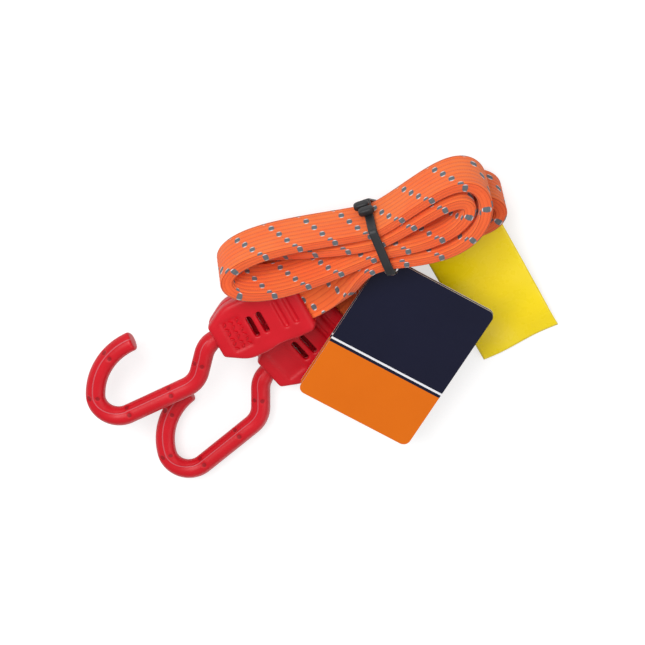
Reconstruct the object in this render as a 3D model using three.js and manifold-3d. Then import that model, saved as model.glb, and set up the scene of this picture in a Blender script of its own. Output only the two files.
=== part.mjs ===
// A flat elastic strap with two hook ends, folded into a hank and held by a plastic tie.
// Millimetres, +Z up. The hank stands on the floor on its strap edges, leaning a little.
import * as THREE from 'three';
import { mergeVertices } from 'three/addons/utils/BufferGeometryUtils.js';
import Module from 'manifold-3d';

const wasm = await Module();
wasm.setup();

const { abs, cos, sin, PI, hypot, max, min, sqrt } = Math;
const rad = (degrees) => (degrees * PI) / 180;
const FAR_AWAY = 100;

// Clearances
const FIT_GAP = 0.3;
const POCKET_GAP = 0.4;

// Strap
const STRAP_WIDTH = 18;
const STRAP_THICKNESS = 5.2;
const STRAP_CORNER = 1.5;

// Hank: the waist's place on the floor, the runs' heading and the straps' lean
const HANK_WAIST = [18.5, 58.4];
const HANK_HEADING = 18;
const HANK_LEAN = 20;
const COLUMN_GAP = 2.4;
const LOOP_STEPS = 24;
const LEAD_LENGTH = 3.4;

// At the waist the tie squeezes the runs together and lifts them off the floor
const WAIST_PITCH = 4.6;
const WAIST_THICKNESS = 3.7;
const WAIST_LIFT = 2.9;
const FAR_TOP_DROP = 15;

// Loops: reach from the waist, half height of the lobe, and how far the lobe sits to one side
const SWELL_POWER = 1.24;
const NEAR_OUTER_RIGHT = { reach: 43.2, half: 11.3, aside: 5 };
const NEAR_INNER_RIGHT = { reach: 36.6, half: 5.1, aside: 3.85 };
const NEAR_LEFT = { reach: 61.5, half: 8, aside: -0.1 };
const FAR_LEFT = { reach: 54.2, half: 5.1, aside: 0.5 };
const FAR_RIGHT = { reach: 46.6, half: 7, aside: -3.9 };

// Housing of a hook end, from its nose to the mouth that the strap enters
const HOUSING_LENGTH = 39;
const HOUSING_WIDTH = 25;
const HOUSING_HEIGHT = 12.4;
const NOSE_WIDTH = 14;
const NOSE_LENGTH = 9;
const HOUSING_BEVEL = 1.8;
const CORNER_RADIUS = 3;
const POCKET_START = 13;
const SLOT_CENTRES = [16.7, 21, 28.9, 33.2];
const THROUGH_SLOTS = 2;
const SLOT_WIDTH = 2;
const SLOT_LENGTHS = [9, 9, 12, 12];
const SLOT_DEPTH = 1.2;
const PANEL_START = 5.4;
const PANEL_LENGTH = 8.4;
const PANEL_WIDTH = 14;
const PANEL_DEPTH = 0.6;
const GRIP_CENTRE = 24;
const GRIP_RADIUS = 16;
const GRIP_DEPTH = 1.2;

// Hook: the rod leaves the nose, jogs aside, runs out and curls back
const ROD_DIAMETER = 7.4;
const ROD_SIDES = 12;
const SHANK_LENGTH = 9.6;
const FLANGE_DIAMETER = 9;
const FLANGE_START = 5;
const FLANGE_LENGTH = 1.8;
const JOG_START = 4.6;
const JOG_END = 16.2;
const JOG_BEND = 5;
const HOOK_OFFSET = 13.2;
const CURL_CENTRE = 47.2;
const CURL_RADIUS = 8.8;
const CURL_TURN = 118;
const TIP_RADIUS = 26.5;
const TIP_TURN = 59;
const CURL_STEPS = 12;
const TIP_STEPS = 6;
const BEND_STEPS = 4;

// Steel wire inside the rod
const CORE_DIAMETER = 3.2;
const CORE_SIDES = 8;
const CORE_TIP_COVER = 4;
const CORE_STICK_OUT = 1.6;

// Pins that locate the two shells on each other, beside the strap
const PIN_DIAMETER = 1.4;
const PIN_LENGTH = 6.8;
const PIN_FROM_NOSE = 34.6;

// Ferrule crimped round the end of the strap
const FERRULE_START = 24.5;
const FERRULE_LENGTH = 6;
const FERRULE_WALL = 0.6;

// Hook ends: the centre of each mouth, the heading from nose to mouth and the rise along it
const END_A = { mouth: [-7.2, 19, 20.8], heading: 27.6, rise: 3 };
const END_B = { mouth: [8, 7.4, HOUSING_HEIGHT / 2], heading: 41, rise: 0 };
const TAIL_STEPS = 14;
const TAIL_EASE_HANK = 10;
const TAIL_EASE_MOUTH = 14;

// Tie
const TIE_WIDTH = 3.4;
const TIE_THICKNESS = 1.2;
const TIE_CLEARANCE = 0.8;
const TIE_CARD_SLACK = 7.7;
const TIE_CARD_LIFT = 5;
const TIE_HEAD_LENGTH = 6.4;
const TIE_HEAD_WIDTH = 5.4;
const TIE_HEAD_HEIGHT = 4;
const TIE_TAIL_LENGTH = 4;

// Card of two leaves that hangs on the tie
const CARD_WIDTH = 50;
const CARD_HEIGHT = 69.5;
const CARD_THICKNESS = 0.5;
const CARD_CORNER = 3;
const CARD_TURN = -29.6;
const CARD_DROP = 6.5;
const CARD_SPLAY = 2.5;
const CARD_FOLD_GAP = 0.7;
const HOLE_FROM_SIDE = 5;
const HOLE_FROM_TOP = 3.9;
const HOLE_WIDTH = 6;
const HOLE_HEIGHT = 5.8;

// Film flag of two leaves, tucked under the upper straps and sloping to the floor
const FLAG_CORNER = [40.5, 32.3];
const FLAG_HEADING = 27;
const FLAG_WIDTH = 33;
const FLAG_LEVEL = 13.5;
const FLAG_END_LEVEL = 1.2;
const FLAG_LENGTH = 54.7;
const FLAG_THICKNESS = 0.3;
const FLAG_LEAF_GAP = 0.4;
const FLAG_BACK_SHORTER = 10;

function look(colour, roughness, metalness = 0) {
  return new THREE.MeshStandardMaterial({ color: colour, roughness, metalness });
}

const STRAP_LOOK = look(0xf46a26, 0.85);
const RED_LOOK = look(0xc8142a, 0.45);
const STEEL_LOOK = look(0x9a9da0, 0.35, 1);
const TIE_LOOK = look(0x2b2b2d, 0.5);
const CARD_LOOK = look(0x1f2238, 0.3);
const FLAG_LOOK = look(0xf2d400, 0.35);

const object = new THREE.Group();

function addPiece(parent, name, geometry, material) {
  const mesh = new THREE.Mesh(geometry, material);
  mesh.name = name;
  parent.add(mesh);
}

// Joining and cutting of closed geometries
function solid(geometry) {
  const bare = geometry.clone();
  bare.deleteAttribute('normal');
  bare.deleteAttribute('uv');
  const merged = mergeVertices(bare, 1e-4);
  const vertProperties = new Float32Array(merged.attributes.position.array);
  const triVerts = new Uint32Array(merged.index.array);
  return new wasm.Manifold(new wasm.Mesh({ numProp: 3, vertProperties, triVerts }));
}

function geometryOf(manifold) {
  const mesh = manifold.getMesh();
  const geometry = new THREE.BufferGeometry();
  geometry.setAttribute('position', new THREE.BufferAttribute(mesh.vertProperties, 3));
  geometry.setIndex(new THREE.BufferAttribute(mesh.triVerts, 1));
  geometry.computeVertexNormals();
  return geometry;
}

function box(x0, x1, y0, y1, z0, z1) {
  const geometry = new THREE.BoxGeometry(x1 - x0, y1 - y0, z1 - z0);
  return solid(geometry.translate((x0 + x1) / 2, (y0 + y1) / 2, (z0 + z1) / 2));
}

function rodAlongX(radius, x0, x1) {
  const geometry = new THREE.CylinderGeometry(radius, radius, x1 - x0, 2 * ROD_SIDES);
  return solid(geometry.rotateZ(PI / 2).translate((x0 + x1) / 2, 0, 0));
}

// A ribbon or rod through rings, each with a centre, two section axes and a scale along each
function sweep(rings, outline) {
  const positions = [];
  for (const ring of rings) {
    for (const [a, b] of outline) {
      const point = ring.centre.clone()
        .addScaledVector(ring.side, a * ring.thin)
        .addScaledVector(ring.wide, b * ring.narrow);
      positions.push(point.x, point.y, point.z);
    }
  }
  const count = outline.length;
  const index = [];
  for (let i = 0; i + 1 < rings.length; i += 1) {
    for (let j = 0; j < count; j += 1) {
      const a = i * count + j;
      const b = i * count + ((j + 1) % count);
      index.push(a, b, b + count, a, b + count, a + count);
    }
  }
  const last = (rings.length - 1) * count;
  for (let j = 1; j + 1 < count; j += 1) {
    index.push(0, j + 1, j, last, last + j, last + j + 1);
  }
  const geometry = new THREE.BufferGeometry();
  geometry.setAttribute('position', new THREE.Float32BufferAttribute(positions, 3));
  geometry.setIndex(index);
  geometry.computeVertexNormals();
  return geometry;
}

function ringsAlong(points, wides, thins) {
  return points.map((centre, i) => {
    const before = points[max(0, i - 1)];
    const after = points[min(points.length - 1, i + 1)];
    const heading = after.clone().sub(before).normalize();
    const side = heading.clone().cross(wides[i]).normalize();
    return { centre, heading, side, wide: wides[i], thin: thins[i], narrow: 1 };
  });
}

function strapOutline() {
  const a = STRAP_THICKNESS / 2;
  const b = STRAP_WIDTH / 2;
  const c = STRAP_CORNER;
  return [
    [a - c, -b], [c - a, -b], [-a, c - b], [-a, b - c],
    [c - a, b], [a - c, b], [a, b - c], [a, c - b],
  ];
}

function circleOutline(radius, sides) {
  const turns = Array.from({ length: sides }, (_, i) => (-2 * PI * (i + 0.5)) / sides);
  return turns.map((turn) => [radius * cos(turn), radius * sin(turn)]);
}

// Hank frame: along the runs, across them on the floor, and up the leaning strap
const UP = new THREE.Vector3(0, 0, 1);
const along = new THREE.Vector3(cos(rad(HANK_HEADING)), sin(rad(HANK_HEADING)), 0);
const across = new THREE.Vector3(-along.y, along.x, 0);
const leaning = UP.clone().multiplyScalar(cos(rad(HANK_LEAN)))
  .addScaledVector(across, -sin(rad(HANK_LEAN)));

function hankPoint(u, q, b) {
  return new THREE.Vector3(...HANK_WAIST, 0)
    .addScaledVector(along, u)
    .addScaledVector(across, q)
    .addScaledVector(leaning, b);
}

// The six runs through the waist, each an offset across and a height up the lean
const FAR_CENTRE = STRAP_WIDTH / 2;
const NEAR_CENTRE = FAR_CENTRE + STRAP_WIDTH + COLUMN_GAP;
const TOP = { q: 1.5 * WAIST_PITCH, b: NEAR_CENTRE };
const UPPER = { q: TOP.q - WAIST_PITCH, b: NEAR_CENTRE };
const LOWER = { q: TOP.q - 2 * WAIST_PITCH, b: NEAR_CENTRE };
const TAIL_A = { q: TOP.q - 3 * WAIST_PITCH, b: NEAR_CENTRE };
const FAR_TOP = { q: TOP.q - FAR_TOP_DROP, b: FAR_CENTRE };
const TAIL_B = { q: FAR_TOP.q - WAIST_PITCH, b: FAR_CENTRE };

// Each loop leaves the waist along one run, swells into a lobe and comes back along another
const LOOPS = [
  { from: TAIL_A, to: TOP, lobe: NEAR_OUTER_RIGHT, way: 1 },
  { from: TOP, to: LOWER, lobe: NEAR_LEFT, way: -1 },
  { from: LOWER, to: UPPER, lobe: NEAR_INNER_RIGHT, way: 1 },
  { from: UPPER, to: FAR_TOP, lobe: FAR_LEFT, way: -1 },
  { from: FAR_TOP, to: TAIL_B, lobe: FAR_RIGHT, way: 1 },
];

const smooth = (t) => t * t * (3 - 2 * t);
const WIDEST_SQUARE = SWELL_POWER / (1 + SWELL_POWER);
const WIDEST_SWELL = WIDEST_SQUARE ** (SWELL_POWER / 2);
const WIDEST_SWING = sqrt(1 - WIDEST_SQUARE);

function loopPoint({ from, to, lobe, way }, t) {
  const swing = cos(PI * t);
  const swell = sin(PI * t) ** 2;
  const half = (to.q - from.q) / 2;
  const bulge = (lobe.half / WIDEST_SWING - abs(half)) / WIDEST_SWELL;
  const lift = half + Math.sign(half) * bulge * sin(PI * t) ** SWELL_POWER;
  const q = (from.q + to.q) / 2 - swing * lift + lobe.aside * swell;
  const b = from.b + (to.b - from.b) * smooth(min(1, 2 * t)) + WAIST_LIFT * (1 - swell);
  return hankPoint(way * lobe.reach * sin(PI * t), q, b);
}

function hankRings() {
  const waistThin = WAIST_THICKNESS / STRAP_THICKNESS;
  const points = [];
  const thins = [];
  const add = (point, swell) => {
    points.push(point);
    thins.push(waistThin + (1 - waistThin) * swell);
  };
  const lead = (run, share) => hankPoint(-share * LEAD_LENGTH, run.q, run.b + WAIST_LIFT);
  for (const share of [1, 0.5]) add(lead(TAIL_A, share), 0);
  for (const loop of LOOPS) {
    for (let i = 0; i < LOOP_STEPS; i += 1) {
      const t = i / LOOP_STEPS;
      add(loopPoint(loop, t), sin(PI * t) ** 2);
    }
  }
  for (const share of [0, 0.5, 1]) add(lead(TAIL_B, share), 0);
  return ringsAlong(points, points.map(() => leaning), thins);
}

// Least distance between stretches of the strap that lie apart along it, and its length
function measureStrap(rings) {
  const run = [0];
  for (let i = 1; i < rings.length; i += 1) {
    run.push(run[i - 1] + rings[i].centre.distanceTo(rings[i - 1].centre));
  }
  let least = Infinity;
  rings.forEach((ring, i) => rings.forEach((other, k) => {
    if (abs(run[i] - run[k]) < 2 * STRAP_WIDTH) return;
    const offset = other.centre.clone().sub(ring.centre);
    const up = offset.z / leaning.z;
    const level = offset.addScaledVector(leaning, -up);
    const heading = ring.heading.clone().addScaledVector(leaning, -ring.heading.z / leaning.z).normalize();
    const ahead = level.dot(heading);
    const beside = level.dot(ring.side);
    const thick = (STRAP_THICKNESS * (ring.thin + other.thin)) / 2;
    if (abs(ahead) > STRAP_THICKNESS / 2) return;
    least = min(least, hypot(max(0, abs(beside) - thick), max(0, abs(up) - STRAP_WIDTH)));
  }));
  return { least, length: run[run.length - 1] };
}

const rings = hankRings();
const measured = measureStrap(rings);
console.log(`strap in the hank ${measured.length.toFixed(0)} mm, least gap ${measured.least.toFixed(2)} mm`);
const underFloor = box(-FAR_AWAY, FAR_AWAY, -FAR_AWAY, FAR_AWAY, -FAR_AWAY, 0);
const hank = solid(sweep(rings, strapOutline())).subtract(underFloor);
addPiece(object, 'strap_hank', geometryOf(hank), STRAP_LOOK);

// Housing shells
function housingOutline() {
  const half = HOUSING_WIDTH / 2;
  const nose = NOSE_WIDTH / 2;
  const corner = CORNER_RADIUS;
  const shoulder = half - (corner * (half - nose)) / NOSE_LENGTH;
  const shape = new THREE.Shape();
  shape.moveTo(0, -nose);
  shape.lineTo(NOSE_LENGTH - corner, -shoulder);
  shape.quadraticCurveTo(NOSE_LENGTH, -half, NOSE_LENGTH + corner, -half);
  shape.lineTo(HOUSING_LENGTH - corner, -half);
  shape.absarc(HOUSING_LENGTH - corner, -half + corner, corner, -PI / 2, 0);
  shape.absarc(HOUSING_LENGTH - corner, half - corner, corner, 0, PI / 2);
  shape.lineTo(NOSE_LENGTH + corner, half);
  shape.quadraticCurveTo(NOSE_LENGTH, half, NOSE_LENGTH - corner, shoulder);
  shape.lineTo(0, nose);
  shape.closePath();
  return shape;
}

function housingBody() {
  const geometry = new THREE.ExtrudeGeometry(housingOutline(), {
    depth: HOUSING_HEIGHT - 2 * HOUSING_BEVEL,
    bevelThickness: HOUSING_BEVEL,
    bevelSize: HOUSING_BEVEL,
    bevelOffset: -HOUSING_BEVEL,
    bevelSegments: 2,
    curveSegments: 3,
  });
  let body = solid(geometry.translate(0, 0, HOUSING_BEVEL - HOUSING_HEIGHT / 2));
  const top = HOUSING_HEIGHT / 2;
  const sideways = STRAP_WIDTH / 2;
  const through = STRAP_THICKNESS / 2;
  const strapRoom = (x0, x1, room) => (
    box(x0, x1, -sideways - room, sideways + room, -through - room, through + room));
  const flangeEnd = FLANGE_START + FLANGE_LENGTH;
  const ferruleEnd = FERRULE_START + FERRULE_LENGTH;
  const cuts = [
    rodAlongX(ROD_DIAMETER / 2 + FIT_GAP, -FAR_AWAY, POCKET_START + FIT_GAP),
    rodAlongX(FLANGE_DIAMETER / 2 + FIT_GAP, FLANGE_START - FIT_GAP, flangeEnd + FIT_GAP),
    strapRoom(POCKET_START, FAR_AWAY, POCKET_GAP),
    strapRoom(FERRULE_START - FIT_GAP, ferruleEnd + FIT_GAP, 2 * FIT_GAP + FERRULE_WALL),
  ];
  SLOT_CENTRES.forEach((x, i) => {
    const x0 = x - SLOT_WIDTH / 2;
    const x1 = x + SLOT_WIDTH / 2;
    const y = SLOT_LENGTHS[i] / 2;
    const floor = i < THROUGH_SLOTS ? 0 : top - SLOT_DEPTH;
    cuts.push(box(x0, x1, -y, y, floor, FAR_AWAY));
    cuts.push(box(x0, x1, -y, y, -FAR_AWAY, -floor));
  });
  for (const side of [1, -1]) {
    const z = [side * (top - PANEL_DEPTH), side * FAR_AWAY].sort((a, b) => a - b);
    cuts.push(box(PANEL_START, PANEL_START + PANEL_LENGTH, -PANEL_WIDTH / 2, PANEL_WIDTH / 2, ...z));
    const grip = new THREE.CylinderGeometry(GRIP_RADIUS, GRIP_RADIUS, 2 * HOUSING_HEIGHT, 6 * ROD_SIDES);
    const y = side * (HOUSING_WIDTH / 2 + GRIP_RADIUS - GRIP_DEPTH);
    cuts.push(solid(grip.rotateX(PI / 2).translate(GRIP_CENTRE, y, 0)));
  }
  for (const side of [1, -1]) {
    cuts.push(solid(pin(side, PIN_DIAMETER / 2 + FIT_GAP, PIN_LENGTH + 2 * FIT_GAP)));
  }
  for (const cut of cuts) body = body.subtract(cut);
  return body;
}

function pin(side, radius, length) {
  const beside = (STRAP_WIDTH / 2 + POCKET_GAP + HOUSING_WIDTH / 2) / 2;
  const geometry = new THREE.CylinderGeometry(radius, radius, length, ROD_SIDES);
  return geometry.rotateX(PI / 2).translate(PIN_FROM_NOSE, side * beside, 0);
}

// Hook rod: a planar line from inside the nose to the tip
function bend(from, corner, to) {
  const curve = new THREE.QuadraticBezierCurve3(from, corner, to);
  return curve.getPoints(BEND_STEPS);
}

function towards(from, to, distance) {
  return from.clone().add(to.clone().sub(from).setLength(distance));
}

function hookLine(startX, tipCut) {
  const flat = (x, y) => new THREE.Vector3(-x, -y, 0);
  const jog = flat(JOG_START, 0);
  const elbow = flat(JOG_END, HOOK_OFFSET);
  const curlStart = flat(CURL_CENTRE, HOOK_OFFSET);
  const points = [flat(-startX, 0)];
  points.push(...bend(flat(JOG_START - JOG_BEND, 0), jog, towards(jog, elbow, JOG_BEND)));
  points.push(...bend(towards(elbow, jog, JOG_BEND), elbow, towards(elbow, curlStart, JOG_BEND)));
  const centre = flat(CURL_CENTRE, HOOK_OFFSET - CURL_RADIUS);
  const outward = (turn) => flat(sin(turn), cos(turn));
  const whole = rad(CURL_TURN);
  for (let i = 0; i <= CURL_STEPS; i += 1) {
    points.push(centre.clone().addScaledVector(outward((whole * i) / CURL_STEPS), CURL_RADIUS));
  }
  const tipCentre = centre.clone().addScaledVector(outward(whole), CURL_RADIUS - TIP_RADIUS);
  const tipTurn = rad(TIP_TURN) - tipCut / TIP_RADIUS;
  for (let i = 1; i <= TIP_STEPS; i += 1) {
    const turn = whole + (tipTurn * i) / TIP_STEPS;
    points.push(tipCentre.clone().addScaledVector(outward(turn), TIP_RADIUS));
  }
  return points;
}

function rod(points, radius, sides, roundTip) {
  const list = ringsAlong(points, points.map(() => UP), points.map(() => 1));
  if (roundTip) {
    const end = list[list.length - 1];
    for (const [ahead, scale] of [[0.5, 0.86], [0.85, 0.5]]) {
      const centre = end.centre.clone().addScaledVector(end.heading, ahead * radius);
      list.push({ ...end, centre, thin: scale, narrow: scale });
    }
  }
  return solid(sweep(list, circleOutline(radius, sides)));
}

function hookRod() {
  const boreLine = hookLine(SHANK_LENGTH + CORE_STICK_OUT, CORE_TIP_COVER - FIT_GAP);
  const bore = rod(boreLine, CORE_DIAMETER / 2 + FIT_GAP, CORE_SIDES, false);
  const flange = rodAlongX(FLANGE_DIAMETER / 2, FLANGE_START, FLANGE_START + FLANGE_LENGTH);
  return rod(hookLine(SHANK_LENGTH, 0), ROD_DIAMETER / 2, ROD_SIDES, true).add(flange).subtract(bore);
}

function hookCore() {
  return rod(hookLine(SHANK_LENGTH + CORE_STICK_OUT, CORE_TIP_COVER), CORE_DIAMETER / 2, CORE_SIDES, false);
}

function ferrule() {
  const y = STRAP_WIDTH / 2 + FIT_GAP;
  const z = STRAP_THICKNESS / 2 + FIT_GAP;
  const end = FERRULE_START + FERRULE_LENGTH;
  const wall = FERRULE_WALL;
  return box(FERRULE_START, end, -y - wall, y + wall, -z - wall, z + wall)
    .subtract(box(-FAR_AWAY, FAR_AWAY, -y, y, -z, z));
}

// A strap tail leaves the hank on edge and turns flat to enter its housing
function strapTail(run, frame) {
  const start = hankPoint(-LEAD_LENGTH - FIT_GAP, run.q, run.b + WAIST_LIFT);
  const place = (x) => new THREE.Vector3(x, 0, 0).applyMatrix4(frame);
  const mouth = place(HOUSING_LENGTH);
  const flat = new THREE.Vector3(0, -1, 0).transformDirection(frame);
  const curve = new THREE.CubicBezierCurve3(
    start,
    start.clone().addScaledVector(along, -TAIL_EASE_HANK),
    place(HOUSING_LENGTH + TAIL_EASE_MOUTH),
    mouth,
  );
  const waistThin = WAIST_THICKNESS / STRAP_THICKNESS;
  const points = curve.getPoints(TAIL_STEPS);
  const shares = points.map((_, i) => smooth(i / TAIL_STEPS));
  const wides = shares.map((share) => leaning.clone().lerp(flat, share).normalize());
  const thins = shares.map((share) => waistThin + (1 - waistThin) * share);
  points.push(place(FERRULE_START + FIT_GAP));
  return sweep(ringsAlong(points, [...wides, flat], [...thins, 1]), strapOutline());
}

const markers = {};
for (const [letter, end, run] of [['a', END_A, TAIL_A], ['b', END_B, TAIL_B]]) {
  const group = new THREE.Group();
  group.rotation.set(0, -rad(end.rise), rad(end.heading), 'ZYX');
  group.updateMatrix();
  const nose = new THREE.Vector3(...end.mouth)
    .sub(new THREE.Vector3(HOUSING_LENGTH, 0, 0).applyMatrix4(group.matrix));
  group.position.copy(nose);
  group.updateMatrix();
  const body = housingBody();
  const upper = box(-FAR_AWAY, FAR_AWAY, -FAR_AWAY, FAR_AWAY, FIT_GAP / 2, FAR_AWAY);
  const lower = box(-FAR_AWAY, FAR_AWAY, -FAR_AWAY, FAR_AWAY, -FAR_AWAY, -FIT_GAP / 2);
  addPiece(group, `housing_${letter}_front_shell`, geometryOf(body.intersect(upper)), RED_LOOK);
  addPiece(group, `housing_${letter}_back_shell`, geometryOf(body.intersect(lower)), RED_LOOK);
  addPiece(group, `hook_${letter}_cover`, geometryOf(hookRod()), RED_LOOK);
  addPiece(group, `hook_${letter}_core`, geometryOf(hookCore()), STEEL_LOOK);
  addPiece(group, `strap_ferrule_${letter}`, geometryOf(ferrule()), STEEL_LOOK);
  addPiece(group, `shell_pin_${letter}_left`, pin(1, PIN_DIAMETER / 2, PIN_LENGTH), STEEL_LOOK);
  addPiece(group, `shell_pin_${letter}_right`, pin(-1, PIN_DIAMETER / 2, PIN_LENGTH), STEEL_LOOK);
  markers[`nose_${letter}`] = nose;
  const curlCentre = new THREE.Vector3(-CURL_CENTRE, CURL_RADIUS - HOOK_OFFSET, 0);
  markers[`curl_${letter}`] = curlCentre.applyMatrix4(group.matrix);
  object.add(group);
  addPiece(object, `strap_tail_${letter}`, strapTail(run, group.matrix), STRAP_LOOK);
}

// Tie: a band round the six runs at the waist, seen along them as (across, up)
function runCorners({ q, b }) {
  const lean = rad(HANK_LEAN);
  const height = b + WAIST_LIFT;
  const corners = [];
  for (const n of [-WAIST_THICKNESS / 2, WAIST_THICKNESS / 2]) {
    for (const w of [-STRAP_WIDTH / 2, STRAP_WIDTH / 2]) {
      const level = q - sin(lean) * (height + w) + cos(lean) * n;
      corners.push(new THREE.Vector2(level, cos(lean) * (height + w) + sin(lean) * n));
    }
  }
  return corners;
}

function convexHull(points) {
  const sorted = [...points].sort((a, b) => a.x - b.x || a.y - b.y);
  const chain = (list) => list.reduce((hull, point) => {
    while (hull.length > 1) {
      const [a, b] = hull.slice(-2);
      if (b.clone().sub(a).cross(point.clone().sub(a)) > 0) break;
      hull.pop();
    }
    return [...hull, point];
  }, []);
  return [...chain(sorted).slice(0, -1), ...chain(sorted.reverse()).slice(0, -1)];
}

function grown(hull, distance) {
  return hull.map((point, i) => {
    const before = point.clone().sub(hull.at(i - 1)).normalize();
    const after = hull[(i + 1) % hull.length].clone().sub(point).normalize();
    const first = new THREE.Vector2(before.y, -before.x);
    const second = new THREE.Vector2(after.y, -after.x);
    const share = distance / (1 + first.dot(second));
    return point.clone().add(first.add(second).multiplyScalar(share));
  });
}

// The band stands off the lowest upper run, where the card hangs on it
const [, , slackCorner] = runCorners(TAIL_A);
const slack = new THREE.Vector2(-TIE_CARD_SLACK - WAIST_THICKNESS, TIE_CARD_LIFT);
const slackPoint = slackCorner.clone().add(slack);
const hull = convexHull([TOP, TAIL_A, FAR_TOP, TAIL_B].flatMap(runCorners).concat(slackPoint));
const waistFrame = new THREE.Matrix4().makeBasis(across, UP, along)
  .setPosition(...HANK_WAIST, 0);

function tie() {
  const outline = new THREE.Shape(grown(hull, TIE_CLEARANCE + TIE_THICKNESS));
  outline.holes.push(new THREE.Path(grown(hull, TIE_CLEARANCE)));
  const band = new THREE.ExtrudeGeometry(outline, { depth: TIE_WIDTH, bevelEnabled: false });
  band.translate(0, 0, -TIE_WIDTH / 2).applyMatrix4(waistFrame);
  const outward = leaning.clone().cross(along);
  const height = TOP.b + WAIST_LIFT - STRAP_WIDTH / 2 + TIE_HEAD_LENGTH;
  const headFrame = new THREE.Matrix4().makeBasis(along, outward, leaning)
    .setPosition(hankPoint(0, TOP.q, height));
  const foot = WAIST_THICKNESS / 2 + TIE_CLEARANCE;
  const half = TIE_HEAD_WIDTH / 2;
  const head = box(-half, half, foot, foot + TIE_HEAD_HEIGHT, -TIE_HEAD_LENGTH / 2, TIE_HEAD_LENGTH / 2);
  const end = foot + TIE_HEAD_HEIGHT + TIE_TAIL_LENGTH;
  const stub = box(-TIE_WIDTH / 2, TIE_WIDTH / 2, foot, end, -TIE_THICKNESS / 2, TIE_THICKNESS / 2);
  return solid(band).add(head.add(stub).transform(headFrame.toArray()));
}

addPiece(object, 'tie', geometryOf(tie()), TIE_LOOK);

// Card: two leaves joined at the top, with a hole that the tie runs through
function leaf(width, height, thickness, corner) {
  const shape = new THREE.Shape();
  const x0 = -HOLE_FROM_SIDE;
  const y1 = HOLE_FROM_TOP;
  shape.moveTo(x0 + corner, y1 - height);
  shape.lineTo(x0 + width - corner, y1 - height);
  shape.absarc(x0 + width - corner, y1 - height + corner, corner, -PI / 2, 0);
  shape.absarc(x0 + width - corner, y1 - corner, corner, 0, PI / 2);
  shape.absarc(x0 + corner, y1 - corner, corner, PI / 2, PI);
  shape.absarc(x0 + corner, y1 - height + corner, corner, PI, 1.5 * PI);
  const hole = new THREE.Path();
  hole.absellipse(0, 0, HOLE_WIDTH / 2, HOLE_HEIGHT / 2, 0, 2 * PI, true);
  shape.holes.push(hole);
  return new THREE.ExtrudeGeometry(shape, { depth: thickness, bevelEnabled: false, curveSegments: 5 });
}

const band = grown(hull, TIE_CLEARANCE + TIE_THICKNESS / 2);
const hang = band.reduce((best, point) => (point.x < best.x ? point : best));
const card = new THREE.Group();
card.rotation.set(rad(CARD_DROP), 0, rad(CARD_TURN), 'ZYX');
card.position.set(hang.x, hang.y, 0).applyMatrix4(waistFrame);
const backLeaf = leaf(CARD_WIDTH, CARD_HEIGHT, CARD_THICKNESS, CARD_CORNER);
backLeaf.translate(0, -HOLE_FROM_TOP, -CARD_FOLD_GAP - CARD_THICKNESS).rotateX(rad(CARD_SPLAY));
backLeaf.translate(0, HOLE_FROM_TOP, 0);
addPiece(card, 'card_front_leaf', leaf(CARD_WIDTH, CARD_HEIGHT, CARD_THICKNESS, CARD_CORNER), CARD_LOOK);
addPiece(card, 'card_back_leaf', backLeaf, CARD_LOOK);
object.add(card);

// Flag
const flag = new THREE.Group();
const slope = Math.asin((FLAG_LEVEL - FLAG_END_LEVEL) / FLAG_LENGTH);
flag.rotation.set(slope, 0, rad(FLAG_HEADING), 'ZYX');
flag.position.set(...FLAG_CORNER, FLAG_LEVEL);

function film(length, top) {
  const sheet = new THREE.BoxGeometry(FLAG_WIDTH, length, FLAG_THICKNESS);
  return sheet.translate(FLAG_WIDTH / 2, -length / 2, top - FLAG_THICKNESS / 2);
}

addPiece(flag, 'flag_front_leaf', film(FLAG_LENGTH, FLAG_THICKNESS), FLAG_LOOK);
addPiece(flag, 'flag_back_leaf', film(FLAG_LENGTH - FLAG_BACK_SHORTER, -FLAG_LEAF_GAP), FLAG_LOOK);
object.add(flag);

// The origin goes to the middle of the floor area, and the joints' places are printed from there
card.updateMatrix();
markers.card_hang = card.position;
markers.card_fold = new THREE.Vector3(0, HOLE_FROM_TOP, -CARD_FOLD_GAP / 2).applyMatrix4(card.matrix);
const bounds = new THREE.Box3().setFromObject(object, true);
const middle = bounds.getCenter(new THREE.Vector3()).setZ(bounds.min.z);
object.position.sub(middle);
for (const [name, point] of Object.entries(markers)) {
  const place = point.clone().sub(middle).toArray();
  console.log(name, place.map((value) => value.toFixed(2)).join(' '));
}

export default object;
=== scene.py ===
# %% [markdown]
# # A tied bungee cord
# A flat bungee cord is sold as a bundle: the elastic strap is folded into a hank, a cable tie holds
# its waist, and the two hook ends lie beside it. The CAD frame has every piece in its place already.
# This lesson gives those pieces their cloth, moulding, card and film. Lengths in the tables are
# millimetres, and they become metres when a mesh is made.

# %% Load the frame
import bpy
import numpy as np
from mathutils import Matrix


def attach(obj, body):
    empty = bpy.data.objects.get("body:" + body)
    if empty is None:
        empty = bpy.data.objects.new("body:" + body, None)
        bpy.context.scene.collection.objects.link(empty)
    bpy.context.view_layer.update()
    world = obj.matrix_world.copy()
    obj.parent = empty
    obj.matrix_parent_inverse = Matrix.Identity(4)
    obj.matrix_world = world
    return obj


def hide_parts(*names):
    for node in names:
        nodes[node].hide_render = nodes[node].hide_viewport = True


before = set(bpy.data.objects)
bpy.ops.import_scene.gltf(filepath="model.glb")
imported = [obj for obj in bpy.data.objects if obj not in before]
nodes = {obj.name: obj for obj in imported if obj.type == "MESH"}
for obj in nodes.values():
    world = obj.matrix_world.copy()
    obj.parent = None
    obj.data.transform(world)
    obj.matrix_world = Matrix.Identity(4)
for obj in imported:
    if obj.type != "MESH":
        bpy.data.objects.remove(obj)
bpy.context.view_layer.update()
scene = bpy.context.scene
scene.view_settings.view_transform = "Standard"
MM = 0.001
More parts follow.
